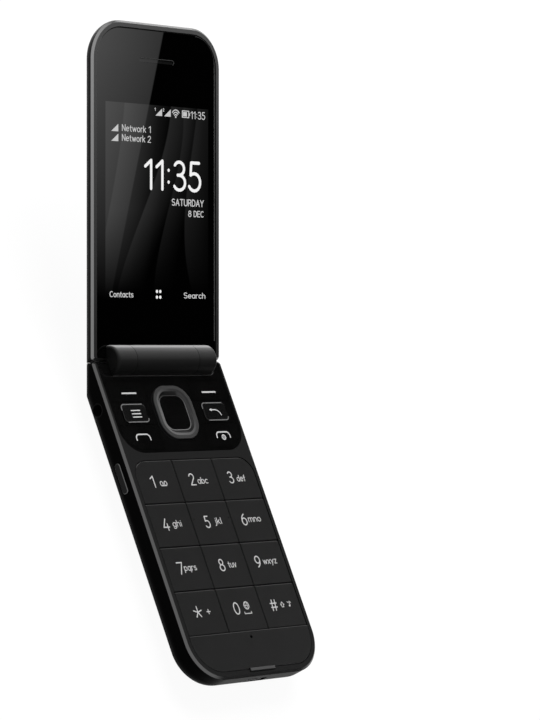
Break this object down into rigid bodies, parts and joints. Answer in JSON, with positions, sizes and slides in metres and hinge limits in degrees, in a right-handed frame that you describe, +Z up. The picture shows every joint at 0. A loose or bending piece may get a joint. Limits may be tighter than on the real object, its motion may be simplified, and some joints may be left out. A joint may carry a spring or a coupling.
{
  "type": "flip phone",
  "caption": "Folding phone: a keypad half with a glossy key plate and a four-way ring, and a display half on a barrel hinge that opens wide and folds flat on the keys.",
  "frame": {"origin": "middle of the flat back that the keypad half lies on, half way from the hinge axis to its tip", "axes": "+X to the user's right, +Y from the keypad's tip to the hinge and on towards the open lid, +Z up out of the keys"},
  "size_m": [0.0552, 0.1919, 0.0544],
  "materials": {
    "frame_plastic": "satin",
    "shell_plastic": "fine matte",
    "piano_black": "polished",
    "key_plastic": "soft satin",
    "barrel_metal": "dark satin paint",
    "soft_strip": "matte",
    "cover_glass": "polished, dark",
    "display_panel": "lit panel",
    "inner_plastic": "plain",
    "circuit_board": "solder mask",
    "steel": "satin",
    "can_metal": "tinned",
    "battery_wrap": "foil wrap",
    "speaker_body": "plain"
  },
  "bodies": {
    "base": {"audio_jack": "inner_plastic", "base_screws": "steel", "battery": "battery_wrap", "battery_contacts": "inner_plastic", "battery_cover": "shell_plastic", "board_parts": "steel", "dome_sheet": "inner_plastic", "front_frame": "frame_plastic", "function_plate": "piano_black", "hinge_cartridge": "steel", "hinge_end_caps": "barrel_metal", "hinge_knuckle_left": "barrel_metal", "hinge_knuckle_right": "barrel_metal", "hinge_pivot": "steel", "keypad_end_panel": "key_plastic", "lid_rest_strip": "soft_strip", "loudspeaker": "speaker_body", "main_board": "circuit_board", "mid_frame": "inner_plastic", "shield_cans": "can_metal", "sim_holder": "steel", "usb_connector": "steel", "vibration_motor": "steel"},
    "lid": {"hinge_knuckle_centre": "barrel_metal", "hinge_flex_roll": "circuit_board", "lid_inner_frame": "frame_plastic", "inner_glass": "cover_glass", "lid_outer_shell": "shell_plastic", "outer_panel": "piano_black", "outer_display": "display_panel", "main_display": "display_panel", "lid_board": "circuit_board", "camera_module": "inner_plastic", "camera_window": "cover_glass", "earpiece": "speaker_body", "closing_magnet": "steel"},
    "key_1": {"key_1": "key_plastic"},
    "key_2": {"key_2": "key_plastic"},
    "key_3": {"key_3": "key_plastic"},
    "key_4": {"key_4": "key_plastic"},
    "key_5": {"key_5": "key_plastic"},
    "key_6": {"key_6": "key_plastic"},
    "key_7": {"key_7": "key_plastic"},
    "key_8": {"key_8": "key_plastic"},
    "key_9": {"key_9": "key_plastic"},
    "key_star": {"key_star": "key_plastic"},
    "key_0": {"key_0": "key_plastic"},
    "key_hash": {"key_hash": "key_plastic"},
    "soft_key_left": {"soft_key_left": "piano_black"},
    "soft_key_right": {"soft_key_right": "piano_black"},
    "menu_key": {"menu_key": "piano_black"},
    "back_key": {"back_key": "piano_black"},
    "call_key": {"call_key": "piano_black"},
    "end_key": {"end_key": "piano_black"},
    "centre_key": {"centre_key": "piano_black"},
    "nav_carrier": {"nav_carrier": "steel"},
    "nav_ring": {"nav_ring": "piano_black"},
    "side_key": {"side_key": "key_plastic"},
    "volume_rocker": {"volume_rocker": "key_plastic"},
    "motor_weight": {"motor_weight": "steel"}
  },
  "joints": [
    {"name": "lid_hinge", "type": "hinge", "parent": "base", "child": "lid", "pos_m": [0, 0.0502, 0.0117], "axis": [1, 0, 0], "range_deg": [0, 154.5]},
    {"name": "key_1_press", "type": "slide", "parent": "base", "child": "key_1", "axis": [0, 0, -1], "range_m": [0, 0.0003], "stiffness_N_per_m": 6000},
    {"name": "key_2_press", "type": "slide", "parent": "base", "child": "key_2", "axis": [0, 0, -1], "range_m": [0, 0.0003], "stiffness_N_per_m": 6000},
    {"name": "key_3_press", "type": "slide", "parent": "base", "child": "key_3", "axis": [0, 0, -1], "range_m": [0, 0.0003], "stiffness_N_per_m": 6000},
    {"name": "key_4_press", "type": "slide", "parent": "base", "child": "key_4", "axis": [0, 0, -1], "range_m": [0, 0.0003], "stiffness_N_per_m": 6000},
    {"name": "key_5_press", "type": "slide", "parent": "base", "child": "key_5", "axis": [0, 0, -1], "range_m": [0, 0.0003], "stiffness_N_per_m": 6000},
    {"name": "key_6_press", "type": "slide", "parent": "base", "child": "key_6", "axis": [0, 0, -1], "range_m": [0, 0.0003], "stiffness_N_per_m": 6000},
    {"name": "key_7_press", "type": "slide", "parent": "base", "child": "key_7", "axis": [0, 0, -1], "range_m": [0, 0.0003], "stiffness_N_per_m": 6000},
    {"name": "key_8_press", "type": "slide", "parent": "base", "child": "key_8", "axis": [0, 0, -1], "range_m": [0, 0.0003], "stiffness_N_per_m": 6000},
    {"name": "key_9_press", "type": "slide", "parent": "base", "child": "key_9", "axis": [0, 0, -1], "range_m": [0, 0.0003], "stiffness_N_per_m": 6000},
    {"name": "key_star_press", "type": "slide", "parent": "base", "child": "key_star", "axis": [0, 0, -1], "range_m": [0, 0.0003], "stiffness_N_per_m": 6000},
    {"name": "key_0_press", "type": "slide", "parent": "base", "child": "key_0", "axis": [0, 0, -1], "range_m": [0, 0.0003], "stiffness_N_per_m": 6000},
    {"name": "key_hash_press", "type": "slide", "parent": "base", "child": "key_hash", "axis": [0, 0, -1], "range_m": [0, 0.0003], "stiffness_N_per_m": 6000},
    {"name": "soft_key_left_press", "type": "slide", "parent": "base", "child": "soft_key_left", "axis": [0, 0, -1], "range_m": [0, 0.0003], "stiffness_N_per_m": 6000},
    {"name": "soft_key_right_press", "type": "slide", "parent": "base", "child": "soft_key_right", "axis": [0, 0, -1], "range_m": [0, 0.0003], "stiffness_N_per_m": 6000},
    {"name": "menu_key_press", "type": "slide", "parent": "base", "child": "menu_key", "axis": [0, 0, -1], "range_m": [0, 0.0003], "stiffness_N_per_m": 6000},
    {"name": "back_key_press", "type": "slide", "parent": "base", "child": "back_key", "axis": [0, 0, -1], "range_m": [0, 0.0003], "stiffness_N_per_m": 6000},
    {"name": "call_key_press", "type": "slide", "parent": "base", "child": "call_key", "axis": [0, 0, -1], "range_m": [0, 0.0003], "stiffness_N_per_m": 6000},
    {"name": "end_key_press", "type": "slide", "parent": "base", "child": "end_key", "axis": [0, 0, -1], "range_m": [0, 0.0003], "stiffness_N_per_m": 6000},
    {"name": "centre_key_press", "type": "slide", "parent": "base", "child": "centre_key", "axis": [0, 0, -1], "range_m": [0, 0.0003], "stiffness_N_per_m": 6000},
    {"name": "nav_tilt_up_down", "type": "hinge", "parent": "base", "child": "nav_carrier", "pos_m": [0, 0.0332, 0.00991], "axis": [1, 0, 0], "range_deg": [-1.5, 1.5], "stiffness_Nm_per_rad": 0.3},
    {"name": "nav_tilt_left_right", "type": "hinge", "parent": "nav_carrier", "child": "nav_ring", "pos_m": [0, 0.0332, 0.00991], "axis": [0, 1, 0], "range_deg": [-1.5, 1.5], "stiffness_Nm_per_rad": 0.3},
    {"name": "side_key_press", "type": "slide", "parent": "base", "child": "side_key", "axis": [1, 0, 0], "range_m": [0, 0.0003], "stiffness_N_per_m": 6000},
    {"name": "volume_rock", "type": "hinge", "parent": "base", "child": "volume_rocker", "pos_m": [0.0253, 0.0187, 0.00775], "axis": [0, 0, 1], "range_deg": [-1.5, 1.5], "stiffness_Nm_per_rad": 0.3},
    {"name": "motor_spin", "type": "hinge", "parent": "base", "child": "motor_weight", "pos_m": [0.014, -0.0384, 0.00445], "axis": [1, 0, 0], "continuous": true}
  ]
}
